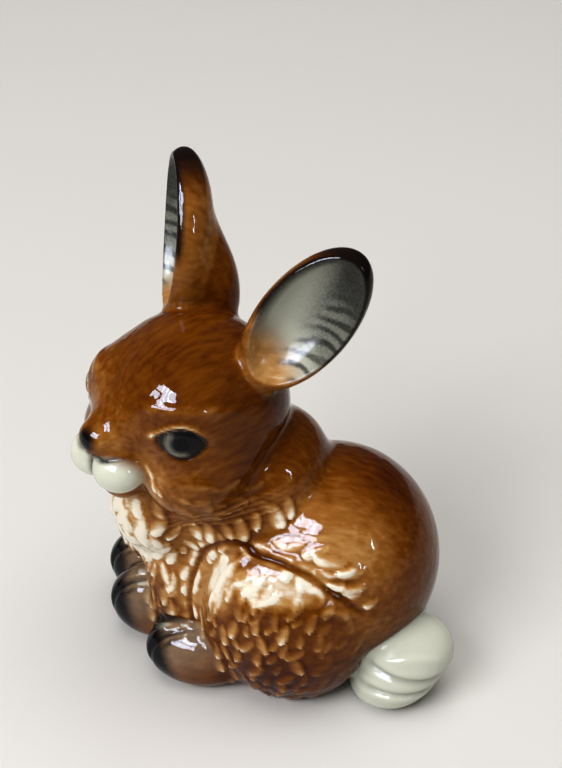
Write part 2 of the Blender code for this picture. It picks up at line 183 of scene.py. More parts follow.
# A stroke runs over the skin through three points, with its half width and its height, which is below nought
# for a groove.
STROKES = [
    ((13.2, -3.5, 29.2), (15.5, 7.5, 27.5), (16.0, 18.5, 20.5), 0.6, -0.9),
    ((13.2, -3.5, 29.2), (12.5, -9.5, 22.0), (13.0, -9.0, 9.0), 0.5, -0.5),
    ((14.6, 18.5, 9.0), (16.6, 25.0, 7.6), (12.0, 33.0, 6.8), 0.7, -0.9),
    ((14.5, 17.0, 4.8), (17.5, 24.8, 5.0), (12.5, 32.0, 4.0), 0.6, -0.8),
    ((15.3, 22.5, 10.2), (14.9, 26.5, 10.8), (13.0, 31.0, 10.2), 0.9, 0.25),
    ((13.3, -0.4, 27.4), (14.6, -2.0, 24.0), (15.6, -5.7, 17.5), 0.7, 0.5),
    ((17.3, 8.9, 24.8), (16.7, 12.0, 24.4), (18.4, 10.8, 22.4), 0.6, 0.5),
    ((18.4, 10.9, 21.1), (17.4, 13.8, 21.7), (17.0, 16.2, 19.3), 0.7, 0.5),
    ((15.5, 11.0, 27.9), (15.7, 14.0, 27.2), (14.2, 16.8, 28.4), 0.6, 0.6),
    ((16.3, 11.0, 26.5), (16.1, 15.0, 25.1), (15.0, 18.6, 25.3), 0.6, 0.6),
]
HEAD_STROKES = [
    ((0, -20.2, -0.6), (0, -21.0, -3.8), (0, -17.5, -7.2), 0.35, -0.6),
    ((0, -20.5, -0.5), (2.5, -19.8, -0.9), (5.6, -17.0, 0.0), 0.35, -0.55),
    ((0, -20.5, -0.5), (-2.5, -19.8, -0.9), (-5.6, -17.0, 0.0), 0.35, -0.55),
    ((6.8, -13.4, 8.0), (10.2, -10.4, 8.0), (14.0, -3.8, 6.6), 1.1, 0.4),
    ((-6.8, -13.4, 8.0), (-10.2, -10.4, 8.0), (-14.0, -3.8, 6.6), 1.1, 0.4),
]
# The strands under the cheek: the uppermost one's three points, how many there are, how far apart they lie,
# and their half width and height.
STRANDS = ((9.5, -15.5, 32.5), (15.0, -5.0, 35.6), (9.0, 6.4, 39.6)), 4, 1.05, (0.33, 0.32)
STROKE_POINTS = 24
RIDGE_SWAY, RIDGE_WAVES = 0.5, 9
# No fur grows in a groove deeper than this.
BARE_GROOVE = 0.35
# The grooves between the toes and the black streaks over them lie at these shares of a paw's half width.
TOE_SIDES = (-0.33, 0.33)
STREAK_SIDES = (-0.6, -0.33, 0.33, 0.6)
TOE_GROOVE = (0.55, -0.6)

# The eye lies on the side of the head, mirrored: its middle, the way to its rear corner, its half length, how
# far it opens above and below, and the share of that by which it narrows towards its corners.
EYE_MIDDLE = (11.9, -10.8, 3.3)
EYE_REARWARD = (0.63, 0.76, -0.12)
EYE_HALF_LENGTH = 3.5
EYE_ABOVE = 2.3
EYE_BELOW = 2.7
EYE_NARROWING = 0.3
# The eye's level is 1 on the lids' edge. What is far from the eye is given this level.
AWAY_LEVEL = 9
EYEBALL_HEIGHT = 0.2
# A ring round the eye is its level, its width and its height.
EYE_FOLD = (1.08, 0.12, -0.3)
UPPER_LID = (1.36, 0.2, 0.3)
LOWER_LID = (1.4, 0.25, 0.1)

# How deep the glaze lies, from 0, where it is thin and cream, to 1, where it is near black.
GLAZE_DEPTH = 0.62
# Where it is deeper or thinner: a place's middle, its radii, how soft its edge is and the change of depth.
BODY_DEPTHS = [
    ((12, 12, 31), (8, 11, 8), 0.7, -0.3),
    ((8, -20, 28), (9, 6, 10), 0.4, -0.62),
    ((12, -9, 22), (6, 7, 9), 0.5, -0.3),
]
# The same on both sides of the head, from the middle of the skull.
HEAD_DEPTHS = [
    ((0, 4, 8), (14, 14, 9), 0.5, 0.1),
    ((14, 2, 0), (5, 7, 7), 0.5, 0.14),
    ((5, -13, 4), (4, 5, 4), 0.5, -0.08),
    ((8, -14.2, -4), (2.5, 3.5, 5), 0.5, -0.2),
    ((10, -8, -8), (5, 7, 5), 0.5, -0.12),
    ((3.2, -18.2, 1.6), (2.6, 2.6, 2.2), 0.5, -0.22),
]
# The glaze is deeper by this much on top of the rump and at the foot of the haunches.
DEEPER = 0.2
# How much thinner it is on a crest and deeper in a hollow, for each millimetre, partly real pooling of the
# glaze and partly painted shade; how much paler a tuft's lit side is, a painted highlight, for each
# millimetre; and how much thinner it is on a cream patch.
CREST_POOLING_AND_SHADE, LIT_SIDE_HIGHLIGHT, CREAM_THINS = 0.9, 0.3, 0.46
# The share of the tufts' thinning and painted highlight that a cream patch evens out, and the eye's level
# inside which none shows.
CREAM_EVENS, BARE_LEVEL = 0.45, 1.7
# A crest is measured against the skin this many rounds of neighbours wide.
CREST_ROUNDS = 10

# A painted place is its middle from the middle of the skull, its radii and how soft its edge is.
LIP_WHITE = ((3.4, -17.8, -4.2), (4.8, 4.4, 3.7), 0.15)
NOSE_BLACK = ((0.2, -20.8, 1.9), (1.9, 2.2, 2.3), 0.45)
# A painted line is its half width, its reach, its strength and how far along it starts to fade.
MOUTH_LINE = (0.42, 1.0, 0.95, 0.7)
TOE_STREAK = (0.75, 2.0, 0.9, 0.6)
# On top of a paw the glaze is thinner by this, with this much of the pale paint and of the black.
PAW_THINS, PAW_PALE, PAW_BLACK = 0.22, 0.25, 0.4
# How grey the tail is, and how much greyer for each millimetre of a crease's depth, partly glaze pooled
# in the crease and partly painted shade.
TAIL_GREY, CREASE_GREY_AND_SHADE = 0.16, 0.5
# How much thinner the glaze is over the upper lid.
LID_THINS = 0.55
# The iris's pale paint and its black, and how much black its crescent lacks.
IRIS_PALE, IRIS_BLACK, CRESCENT = 0.6, 0.985, 0.36
FULL_BLACK = 0.95
# The dusk inside an ear: how black its inner side is, what its outer side and its tip add, and its edge.
DUSK, OUTER_DUSK, EDGE_DUSK = 0.3, 0.64, 0.96
# The dark ribs inside an ear: how closely they follow each other up it and across it, how much they bend, how
# black they are and how much lighter the dusk is between them.
RIBS_UP, RIBS_ACROSS, RIB_BEND = 2.88, 2.16, 0.9
RIB_BLACK, BETWEEN_RIBS = 0.85, 0.22
# The brown at the foot of an ear's inside ends this much lower for each millimetre outwards.
EAR_SLANT = 0.012
# How much thinner the glaze is there, and on the ear's back.
EAR_FOOT_THINS, EAR_BACK_THINS = 0.4, 0.18
# The roughness of the glaze, and how much more there is in the iris and inside the ears.
GLAZE_ROUGHNESS, IRIS_DULLER, EAR_DULLER = 0.05, 0.02, 0.17
# The brushed grain runs along the head, as far as this from the head's forms, and along the back elsewhere.
HEAD_REACH = 1.75
HEAD_GRAIN = (1, 0.22, 1)
BODY_GRAIN = (1, 0.3, 0.8)

GLAZE_COLOURS = [
    (0.0, (0.80, 0.74, 0.60, 1)),
    (0.2, (0.46, 0.25, 0.085, 1)),
    (0.4, (0.27, 0.108, 0.021, 1)),
    (0.6, (0.145, 0.043, 0.003, 1)),
    (0.8, (0.075, 0.018, 0.0012, 1)),
    (1.0, (0.040, 0.006, 0.0004, 1)),
]
PALE_PAINT = (0.62, 0.63, 0.515, 1)
BLACK_PAINT = (0.004, 0.004, 0.005, 1)
SPECULAR_LEVEL, GLAZE_IOR = 0.13, 1.5
# Noise is its scale and detail, and how far it swings the glaze's depth.
CLOUDS = (90.0, 4.0, 0.1)
BRUSHING = (1.1, 3.0, -0.085)
SPECKS, SPECK_STRENGTH = (2600.0, 1.0), 1.8
RIPPLES, RIPPLE_STRENGTH, RIPPLE_HEIGHT = (260.0, 2.0), 0.4, 0.0005

FLOOR_SIZE = 1.1
FLOOR_COLOUR = (0.60, 0.58, 0.54, 1)
FLOOR_ROUGHNESS = 0.7
ROOM_COLOUR, ROOM_STRENGTH = (0.9, 0.93, 1.0, 1), 0.1

# The window that shows in the glaze: the way to its middle, and the ways from there to its panes, in degrees.
WINDOW_AZIMUTH, WINDOW_ELEVATION = 54, 42
PANE_AZIMUTHS = (-17.25, -5.75, 5.75, 17.25)
PANE_ELEVATIONS = (-6.5, 6.5)
# A light is its distance and size in metres, its power in watts and its colour.
PANE = (0.55, (0.092, 0.1), 1.6, (0.74, 0.82, 1.0))
FAR_WINDOW = (0.7, (0.035, 0.13), 1.2, (0.82, 0.88, 1.0))
DAY = (0.9, (0.55, 0.33), 5.4, (0.99, 0.98, 1.0))
SKY = (0.9, (0.9, 0.9), 7.0, (1, 1, 1))
LIGHT_AIM = (0, 0, 0.03)

CAMERA_AZIMUTH, CAMERA_ELEVATION, CAMERA_DISTANCE = 100, 35, 0.27
CAMERA_AIM = (-0.0158, -0.00183, 0.040)
LENS, SENSOR = 75.94, 36

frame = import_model()


def turning(turn):
    """The rotation matrix of three angles in degrees, about X first and Z last."""
    x, y, z = (math.radians(angle) for angle in turn)
    return Matrix.Rotation(z, 4, "Z") @ Matrix.Rotation(y, 4, "Y") @ Matrix.Rotation(x, 4, "X")


def head_frame():
    """The head's own frame, in the middle of the skull, with -Y towards the nose."""
    return Matrix.Translation(HEAD_CENTRE) @ turning(HEAD_TURN)


def ear_frame(root, growth, outwards):
    """The ear's own frame: Z runs from root to tip and -Y looks out of its hollow."""
    along = Vector(growth).normalized()
    facing = Vector((math.sin(math.radians(outwards)), -math.cos(math.radians(outwards)), 0))
    behind = -(facing - along * facing.dot(along)).normalized()
    across = behind.cross(along)
    axes = Matrix((across, behind, along)).transposed().to_4x4()
    return head_frame() @ Matrix.Translation(root) @ axes


def placed(forms, frame=Matrix()):
    """Each form as its matrix from a unit sphere, its radii and its blend."""
    found = []
    for centre, radii, turn, blend in forms:
        found.append((frame @ Matrix.Translation(centre) @ turning(turn), np.array(radii, float), blend))
    return found


def solid_forms():
    """The forms of the body, the legs, the tail and the head."""
    return placed(BODY.values()) + placed(LEGS.values()) + placed(HEAD.values(), head_frame())


def ear_forms():
    """For each ear, the form of its leaf, the thick root behind it and the form that hollows it."""
    found = []
    for ear in EARS.values():
        half = EAR_LENGTH / 2
        leaf = ((0, -1.5, half - 1), (EAR_WIDTH / 2, EAR_DEPTH / 2, half + 1), (-8, 0, 0), 1.5)
        heel = ((0, 2, 5), (4.6, 4.5, 9), (8, 0, 0), 3)
        hollow = (
            (0, -EAR_DEPTH / 2 - 0.5, half + 0.5),
            (EAR_WIDTH / 2 - EAR_RIM, EAR_DEPTH / 2 + 1.3, half - EAR_RIM),
            (-6, 0, 0),
            0.8,
        )
        found.append(placed([leaf, heel, hollow], ear_frame(*ear)))
    return found


SOLID_FORMS = solid_forms()
EAR_FORMS = ear_forms()


def into(points, matrix):
    """The points seen from a frame."""
    inverse = np.array(matrix.inverted())
    return points @ inverse[:3, :3].T + inverse[:3, 3]


def out_of(points, matrix):
    """Points of a frame, seen from outside it."""
    matrix = np.array(matrix)
    return points @ matrix[:3, :3].T + matrix[:3, 3]


def distance(points, form):
    """Roughly how far each point lies outside an ellipsoid."""
    matrix, radii, _ = form
    local = into(points, matrix)
    level = np.linalg.norm(local / radii, axis=1)
    slope = np.linalg.norm(local / radii**2, axis=1)
    return level * (level - 1) / np.maximum(slope, 1e-9)


def blended(a, b, width):
    """The smaller of two distances, rounded where they cross."""
    overlap = np.maximum(width - np.abs(a - b), 0) / width
    return np.minimum(a, b) - overlap**2 * width / 4


def skin_distance(points):
    """How far each point lies outside the blended clay."""
    skin = None
    for form in SOLID_FORMS:
        gap = distance(points, form)
        skin = gap if skin is None else blended(skin, gap, form[2])
    for leaf, heel, hollow in EAR_FORMS:
        whole = blended(distance(points, leaf), distance(points, heel), heel[2])
        ear = -blended(-whole, distance(points, hollow), hollow[2])
        skin = blended(skin, ear, leaf[2])
    return skin


def skin_slope(points):
    """The direction in which the skin's distance grows, which is the skin's normal near it."""
    steps = SLOPE_STEP * np.eye(3)
    rises = [skin_distance(points + step) - skin_distance(points - step) for step in steps]
    return np.stack(rises, axis=1) / (2 * SLOPE_STEP)


def move_onto_skin(points, steps=PROJECTION_STEPS):
    """Moves points along the skin's slope until they lie on it."""
    for _ in range(steps):
        slope = skin_slope(points)
        size = np.maximum((slope**2).sum(axis=1, keepdims=True), 0.2)
        points = points - np.clip(skin_distance(points)[:, None] / size, -0.6, 0.6) * slope
    return points


def unit(vectors):
    """The vectors at a length of one."""
    return vectors / np.maximum(np.linalg.norm(vectors, axis=-1, keepdims=True), 1e-9)


def landed(points, outward):
    """Points brought along a direction onto the skin, from outside it."""
    points = points + outward * APPROACH
    for _ in range(APPROACH_STEPS):
        points = points - outward * np.clip(skin_distance(points), -1, 3)[:, None]
    return points


def wandering(start, heading, length, curl):
    """Lines that leave points of the skin along their headings, and turn as they go."""
    lines = [start]
    for _ in range(TUFT_POINTS - 1):
        normals = unit(skin_slope(lines[-1]))
        heading = unit(heading - normals * (heading * normals).sum(axis=1, keepdims=True))
        turn = curl / (TUFT_POINTS - 1)
        heading = heading * np.cos(turn) + np.cross(normals, heading) * np.sin(turn)
        lines.append(move_onto_skin(lines[-1] + heading * length / (TUFT_POINTS - 1), 2))
    return np.stack(lines, axis=1)


def scattered(half_size, spacing, fan):
    """Places across and along a patch, in staggered rows a little out of line, and the turn of each tuft."""
    rows, columns = (int(half / gap) for half, gap in zip(half_size[::-1], spacing[::-1]))
    places = []
    for row in range(-rows, rows + 1):
        for column in range(-columns, columns + 1):
            across = (column + 0.5 * (row % 2)) * spacing[0]
            across += STRAY_ACROSS * math.sin(1.9 * row + 2.3 * column)
            along = row * spacing[1] + STRAY_ALONG * math.sin(2.4 * column + row)
            turn = math.radians(fan * across / half_size[0])
            turn += STRAY_TURN * math.sin(5.1 * column + 3.3 * row)
            if (across / half_size[0]) ** 2 + (along / half_size[1]) ** 2 <= 1:
                places.append((across, along, turn))
    return np.array(places)


def patch_tufts(patch):
    """The middle line of each tuft of a patch, from root to tip, with the tuft's size."""
    name, outward, pointing, fan, half_size, spacing, tuft = patch
    frame = head_frame() if name in HEAD else Matrix()
    form = placed([{**BODY, **LEGS, **HEAD}[name]], frame)[0]
    outward = unit(np.array(frame.to_3x3() @ Vector(outward)))
    pointing = np.array(frame.to_3x3() @ Vector(pointing))
    down = unit(pointing - outward * (pointing @ outward))
    side, along, turns = np.split(scattered(half_size, spacing, fan), 3, axis=1)
    roots = np.array(form[0].translation) + np.cross(down, outward) * side + down * along
    roots = landed(roots, outward)
    near = np.abs(distance(roots, form)) < max(1.0, 0.6 * form[2])
    near &= (np.abs(skin_distance(roots)) < ROOT_MISS) & (roots[:, 2] > LOWEST_ROOT)
    near &= (cream_patch(roots) > 0.4) == (tuft is CREAM_TUFT)
    roots = roots[near]
    number = np.arange(len(roots))[:, None]
    heading = turned(down, unit(skin_slope(roots)), turns[near])
    size = np.array(tuft) * (1 + PATCH_VARIETY * np.sin(3.7 * number))
    if tuft is FINE_TUFT:
        size[:, 2:] *= 1 - FADE * soft_step(FADE_FROM, FADE_TO, roots[:, 1:2])
    return wandering(roots, heading, size[:, :1], STRAY_CURL * np.sin(2.9 * number)), size


def cream_patch(points):
    """1 in the cream patches of either haunch."""
    folded = both_sides(points)
    return np.max([spot(folded, centre, radii, 0.35) for centre, radii in CREAM], axis=0)


def mirrored(fur):
    """A patch or row of the left side, moved to the right side."""
    return [flipped(value) for value in fur]


def flipped(value):
    """A form's name or a place or direction of the left side, on the right side. Other values stay."""
    if isinstance(value, str):
        return value.replace("left", "right")
    return (-value[0], *value[1:]) if isinstance(value, tuple) and len(value) == 3 else value


def row_tufts(row, frame=Matrix()):
    """The middle line of each tuft of a row, with the tuft's size."""
    start, end, count, pointing, curl, tuft = row
    share = np.linspace(0, 1, count)[:, None]
    roots = move_onto_skin(out_of(np.array(start) * (1 - share) + np.array(end) * share, frame))
    number = np.arange(count)[:, None]
    pointing = np.array(frame.to_3x3() @ Vector(pointing))
    heading = turned(pointing, unit(skin_slope(roots)), 0.2 * np.sin(4.1 * number))
    size = np.array(tuft) * (1 + ROW_VARIETY * np.sin(2.7 * number))
    curls = math.radians(curl) * (1 + 0.3 * np.sin(number))
    return wandering(roots, heading, size[:, :1], curls), size


def turned(direction, normals, angle):
    """A direction laid along the skin and turned about its normals."""
    heading = unit(direction - normals * (normals @ direction)[:, None])
    return heading * np.cos(angle) + np.cross(normals, heading) * np.sin(angle)


def beside_line(points, line, reach):
    """The points within reach of a line: which they are, how far along it and how far from it they lie, the
    way from the line to each, and the way the line runs there."""
    low, high = line.min(axis=0) - reach, line.max(axis=0) + reach
    near = np.flatnonzero(((points > low) & (points < high)).all(axis=1))
    start, run = line[:-1], line[1:] - line[:-1]
    offset = points[near][:, None] - start[None]
    part = np.clip((offset * run).sum(axis=2) / (run * run).sum(axis=1), 0, 1)
    aside = offset - part[..., None] * run
    gap = np.linalg.norm(aside, axis=2)
    best = gap.argmin(axis=1)
    rows = np.arange(len(near))
    along = (best + part[rows, best]) / (len(line) - 1)
    return near, along, gap[rows, best], aside[rows, best], run[best]


def tuft_relief(points, normals, lines, sizes):
    """How far the tufts stand out, steep on one side and highest before the tip, and how pale they are."""
    relief, paler = np.zeros(len(points)), np.zeros(len(points))
    for line, (_, width, height, paleness) in zip(lines, sizes):
        near, along, gap, aside, run = beside_line(points, line, width)
        if not len(near):
            continue
        side = np.sign((np.cross(normals[near], run) * aside).sum(axis=1)) * gap
        ends = np.abs(2 * along**TUFT_WIDEST - 1) ** TUFT_BLUNT
        half = width / 2 * np.sqrt(np.clip(1 - ends, 0, 1)) + 0.05
        across = np.clip(side / half, -1, 1)
        body = (1 - np.abs(across) ** TUFT_FLAT) * (1 + SKEW * across) / (1 + 0.4 * SKEW)
        relief[near] = np.maximum(relief[near], height * body * (0.25 + 0.75 * along))
        paler[near] = np.maximum(paler[near], paleness * np.clip(body, 0, 1) * (0.5 + 0.5 * along))
    return relief, paler


def all_tufts():
    """Every tuft of both sides, by its patch or row."""
    patches = PATCHES + [mirrored(patch) for patch in PATCHES]
    rows = ROWS + [mirrored(row) for row in ROWS]
    head_rows = HEAD_ROWS + [mirrored(row) for row in HEAD_ROWS]
    grown, taken = [], np.full((1, 3), -99.0)
    tufts = [row_tufts(row) for row in rows] + [row_tufts(row, head_frame()) for row in head_rows]
    for lines, sizes in tufts + [patch_tufts(patch) for patch in patches]:
        gaps = np.linalg.norm(lines[:, None, 0] - taken, axis=2).min(axis=1)
        free = (gaps > ROOT_GAP) & (np.abs(skin_distance(lines[:, 0])) < ROOT_MISS)
        grown.append((lines[free], sizes[free]))
        taken = np.concatenate([taken, lines[free, 0]])
    return grown


def fur_relief(points, normals, tufts):
    """How far the fur stands out of the skin, and how pale it is."""
    grown = [tuft_relief(points, normals, *some) for some in tufts]
    return np.max([relief for relief, _ in grown], axis=0), np.max([paler for _, paler in grown], axis=0)


def bent(start, middle, end):
    """A curve that leaves its start towards its middle, and passes on to its end."""
    share = np.linspace(0, 1, STROKE_POINTS)[:, None]
    start, middle, end = (np.array(point, float) for point in (start, middle, end))
    through = 2 * middle - (start + end) / 2
    return start * (1 - share) ** 2 + 2 * through * share * (1 - share) + end * share**2


def toe_lines(sides):
    """Lines over the front of each paw, at shares of its half width."""
    lines = []
    for name in PAWS:
        matrix, radii, _ = placed([LEGS[name]])[0]
        for side in sides:
            angles = np.radians(np.linspace(-15, 80, STROKE_POINTS))
            rays = np.stack([np.full(STROKE_POINTS, side), -np.cos(angles), np.sin(angles)], axis=1)
            rays /= np.linalg.norm(rays / radii, axis=1, keepdims=True)
            lines.append(out_of(rays, matrix))
    return lines


def mouth_lines():
    """The lines of the mouth and the parting below the nose, laid on the skin."""
    return [move_onto_skin(out_of(bent(*stroke[:3]), head_frame())) for stroke in HEAD_STROKES[:3]]


def stroke_relief(points, line, width, height):
    """A soft ridge or groove along a line laid on the skin, fading out at its ends."""
    relief = np.zeros(len(points))
    near, along, gap, _, _ = beside_line(points, move_onto_skin(line), 3 * width)
    fade = np.clip(4 * np.minimum(along, 1 - along) + 0.3, 0, 1)
    relief[near] = height * bell(gap, 0, width) * fade
    return relief


def strokes(points):
    """How far the toe grooves, the strokes and the strands under the cheek stand out of the skin."""
    relief = np.zeros(len(points))
    for line in toe_lines(TOE_SIDES):
        relief += stroke_relief(points, line, *TOE_GROOVE)
    for start, middle, end, width, height in STROKES:
        line = bent(start, middle, end)
        if height > 0:
            line[:, 1] += RIDGE_SWAY * np.sin(np.linspace(0, RIDGE_WAVES, STROKE_POINTS))
        relief += stroke_relief(points, line, width, height)
    for start, middle, end, width, height in HEAD_STROKES:
        relief += stroke_relief(points, out_of(bent(start, middle, end), head_frame()), width, height)
    strand, count, gap, size = STRANDS
    lines = [bent(*strand) - np.array((0, 0, gap * number)) for number in range(count)]
    return relief + np.max([stroke_relief(points, line, *size) for line in lines], axis=0)


def both_sides(points):
    """The points with the right half folded onto the left."""
    return np.stack([np.abs(points[:, 0]), points[:, 1], points[:, 2]], axis=1)


def eye_place(folded):
    """Each point's place in the eye: along it, up it, and its level, which is 1 on the lids' edge."""
    rearward = unit(np.array(EYE_REARWARD))
    upward = unit(np.array((0, 0, 1)) - rearward * rearward[2])
    offset = folded - np.array(EYE_MIDDLE)
    along, up = offset @ rearward, offset @ upward
    share = along / EYE_HALF_LENGTH
    narrowing = 1 - EYE_NARROWING * np.clip(share, -1, 1) ** 2
    level = np.hypot(share, up / (np.where(up > 0, EYE_ABOVE, EYE_BELOW) * narrowing))
    close = np.linalg.norm(offset, axis=1) < 3 * EYE_HALF_LENGTH
    return along, up, np.where(close, level, AWAY_LEVEL)


def over_eye(up):
    """1 above the eye's middle and 0 below it."""
    return soft_step(-0.8, 0.6, up)


def bell(values, middle, width):
    """1 where the values are at the middle, falling away over a width on both sides."""
    return np.exp(-(((values - middle) / width) ** 2))


def ring(level, middle, width, height):
    """How far a ring round the eye stands out of the skin."""
    return height * bell(level, middle, width)


def eye_relief(folded):
    """The eyeball, the fold round it and both lids."""
    _, up, level = eye_place(folded)
    relief = EYEBALL_HEIGHT * np.clip(1 - level**2, 0, 1) + ring(level, *EYE_FOLD)
    return relief + ring(level, *UPPER_LID) * over_eye(up) + ring(level, *LOWER_LID) * over_eye(-up)


def ellipsoid(name, form):
    """A mesh object of one form."""
    matrix, radii, _ = form
    bm = bmesh.new()
    bmesh.ops.create_uvsphere(
        bm,
        u_segments=SPHERE_SEGMENTS,
        v_segments=SPHERE_RINGS,
        radius=1.0,
        matrix=matrix @ Matrix.Diagonal((*radii, 1.0)),
    )
    return object_from(name, bm)


def object_from(name, bm):
    """An object in the scene with the mesh that has been built."""
    mesh = bpy.data.meshes.new(name)
    bm.to_mesh(mesh)
    bm.free()
    made = bpy.data.objects.new(name, mesh)
    bpy.context.scene.collection.objects.link(made)
    return made


def applied(made):
    """Gives the object the mesh that its modifiers make."""
    bpy.context.view_layer.update()
    graph = bpy.context.evaluated_depsgraph_get()
    mesh = bpy.data.meshes.new_from_object(made.evaluated_get(graph))
    made.modifiers.clear()
    made.data = mesh
    return made


def hollowed(leaf, heel, hollow):
    """An ear: its leaf and heel, with the hollow cut out of them."""
    ear = ellipsoid("ear", leaf)
    for operation, form in (("UNION", heel), ("DIFFERENCE", hollow)):
        tool = ellipsoid("ear-tool", form)
        cut = ear.modifiers.new("cut", "BOOLEAN")
        cut.operation = operation
        cut.object = tool
        applied(ear)
        bpy.data.objects.remove(tool)
    return ear


def fused(parts):
    """One closed skin around all the parts."""
    bm = bmesh.new()
    for part in parts:
        bm.from_mesh(part.data)
        bpy.data.objects.remove(part)
    made = object_from("glazed_hare", bm)
    skin = made.modifiers.new("skin", "REMESH")
    skin.mode = "VOXEL"
    skin.voxel_size = VOXEL
    return applied(made)


def cut_foot(made):
    """Cuts the underside flat."""
    bm = bmesh.new()
    bm.from_mesh(made.data)
    cut = bmesh.ops.bisect_plane(
        bm,
        geom=bm.verts[:] + bm.edges[:] + bm.faces[:],
        dist=0.0001,
        plane_co=(0, 0, 0),
        plane_no=(0, 0, 1),
        clear_inner=True,
    )
    rim = [piece for piece in cut["geom_cut"] if isinstance(piece, bmesh.types.BMEdge)]
    bmesh.ops.holes_fill(bm, edges=rim)
    bmesh.ops.triangulate(bm, faces=[face for face in bm.faces if len(face.verts) > 4])
    bm.to_mesh(made.data)
    bm.free()


def positions(made):
    """The object's vertices, one row each."""
    points = np.empty(len(made.data.vertices) * 3)
    made.data.vertices.foreach_get("co", points)
    return points.reshape(-1, 3)


def neighbour_mean(values, edges, rounds):
    """The values, averaged with those of the neighbouring vertices a number of times."""
    count = np.bincount(edges.ravel(), minlength=len(values))
    for _ in range(rounds):
        total = np.bincount(edges[:, 0], values[edges[:, 1]], len(values))
        total += np.bincount(edges[:, 1], values[edges[:, 0]], len(values))
        values = total / np.maximum(count, 1)
    return values


def soft_step(low, high, values):
    """0 before low and 1 past high, with a smooth rise between them, or a fall where high is below low."""
    share = np.clip((values - low) / (high - low), 0, 1)
    return share * share * (3 - 2 * share)


def spot(points, centre, radii, softness=0.5):
    """1 inside an ellipsoid and 0 outside it, with a soft edge that is a share of its size."""
    reach = np.linalg.norm((points - np.array(centre)) / np.array(radii), axis=1)
    return 1 - soft_step(1 - softness, 1 + softness, reach)


def crests(made, relief):
    """How far each point stands above the skin round it."""
    edges = np.empty(len(made.data.edges) * 2, int)
    made.data.edges.foreach_get("vertices", edges)
    return relief - neighbour_mean(relief, edges.reshape(-1, 2), CREST_ROUNDS)


def lay(coat, name, share):
    """Lays a paint on the points where it is thinner than its share."""
    coat[name] = np.maximum(coat[name], share)


def lay_line(coat, points, line, look):
    """Lays a black line along a line of the skin, fading out towards its end."""
    width, reach, strength, fading = look
    near, along, gap, _, _ = beside_line(points, line, reach)
    share = strength * bell(gap, 0, width) * soft_step(1.0, fading, along)
    coat["black"][near] = np.maximum(coat["black"][near], share)


def glaze_body(coat, points, folded):
    """Lets the glaze lie deep on the rump and low on the haunches, and thin on the back, ruff and face."""
    _, y, z = points.T
    coat["glaze"] += DEEPER * soft_step(26, 36, z) * soft_step(10, 22, y)
    coat["glaze"] += DEEPER * soft_step(18, 8, z) * soft_step(-6, 2, y)
    for places, depths in ((points, BODY_DEPTHS), (folded, HEAD_DEPTHS)):
        for centre, radii, softness, change in depths:
            coat["glaze"] += change * spot(places, centre, radii, softness)


def glaze_fur(coat, points, level, crest, lit, paler):
    """Thins the glaze on the tufts' crests and deepens it in hollows, partly pooled glaze and partly painted
    shade; paints a highlight on the tufts' lit sides; thins the glaze on the cream patches.
    """
    cream = cream_patch(points)
    # Pooled glaze and painted shade from the crests, and a painted highlight on the tufts' lit sides.
    thinner = CREST_POOLING_AND_SHADE * np.clip(crest, -0.3, 0.3) + LIT_SIDE_HIGHLIGHT * np.clip(lit, -0.3, 0.4)
    coat["glaze"] -= (level > BARE_LEVEL) * (1 - CREAM_EVENS * cream) * thinner
    coat["glaze"] -= paler + CREAM_THINS * cream


def paint_tail(coat, points, crest):
    """Paints the tail white, with grey in its creases, partly pooled glaze and partly painted shade."""
    forms = placed([LEGS[name] for name in TAIL])
    on_tail = soft_step(0.9, 0.3, np.min([distance(points, form) for form in forms], axis=0))
    lay(coat, "pale", on_tail)
    # Grey in the creases: partly pooled glaze, partly painted shade.
    lay(coat, "black", on_tail * (TAIL_GREY - CREASE_GREY_AND_SHADE * np.clip(crest, -0.5, 0.1)))


def paint_muzzle(coat, points, head, folded):
    """Paints the lips white, and the nose and the lines of the mouth black."""
    lay(coat, "pale", spot(folded, *LIP_WHITE))
    lay(coat, "black", spot(head, *NOSE_BLACK))
    for line in mouth_lines():
        lay_line(coat, points, line, MOUTH_LINE)


def paint_paws(coat, points):
    """Paints black toes with streaks that run back from them, and smoky tops."""
    for name in PAWS:
        (x, y, z), radii, _, _ = LEGS[name]
        on_paw = soft_step(0.8, 0.2, distance(points, placed([LEGS[name]])[0]))
        toes = spot(points, (x, y - radii[1] + 0.5, z - 2.5), (2.2 * radii[0], 6.0, radii[2] + 3), 0.3)
        top = on_paw * spot(points, (x, y - 3, z + 3), radii, 0.4)
        coat["glaze"] -= PAW_THINS * top
        lay(coat, "pale", PAW_PALE * top)
        lay(coat, "black", np.maximum(on_paw * toes, PAW_BLACK * top))
    for line in toe_lines(STREAK_SIDES):
        lay_line(coat, points, move_onto_skin(line), TOE_STREAK)


def paint_eyes(coat, along, up, level):
    """Paints the pale line over the lid, the dark lashes, the iris with its olive crescent and the pupil."""
    coat["glaze"] -= LID_THINS * bell(level, 1.3, 0.15) * over_eye(up) * soft_step(4.0, 0.5, along)
    iris = soft_step(1.05, 0.95, level)
    from_pupil = np.hypot(along + 0.1, up - 0.1)
    pupil = soft_step(1.6, 1.2, from_pupil)
    crescent = bell(from_pupil, 2.0, 0.45) * soft_step(0.4, -1.2, along + 0.8 * up)
    lay(coat, "pale", IRIS_PALE * iris)
    lay(coat, "black", FULL_BLACK * bell(level, 1.08, 0.1))
    eye_black = np.maximum(IRIS_BLACK - CRESCENT * crescent, pupil)
    coat["black"] = np.where(level < 1.02, eye_black, coat["black"])
    coat["roughness"] += IRIS_DULLER * iris


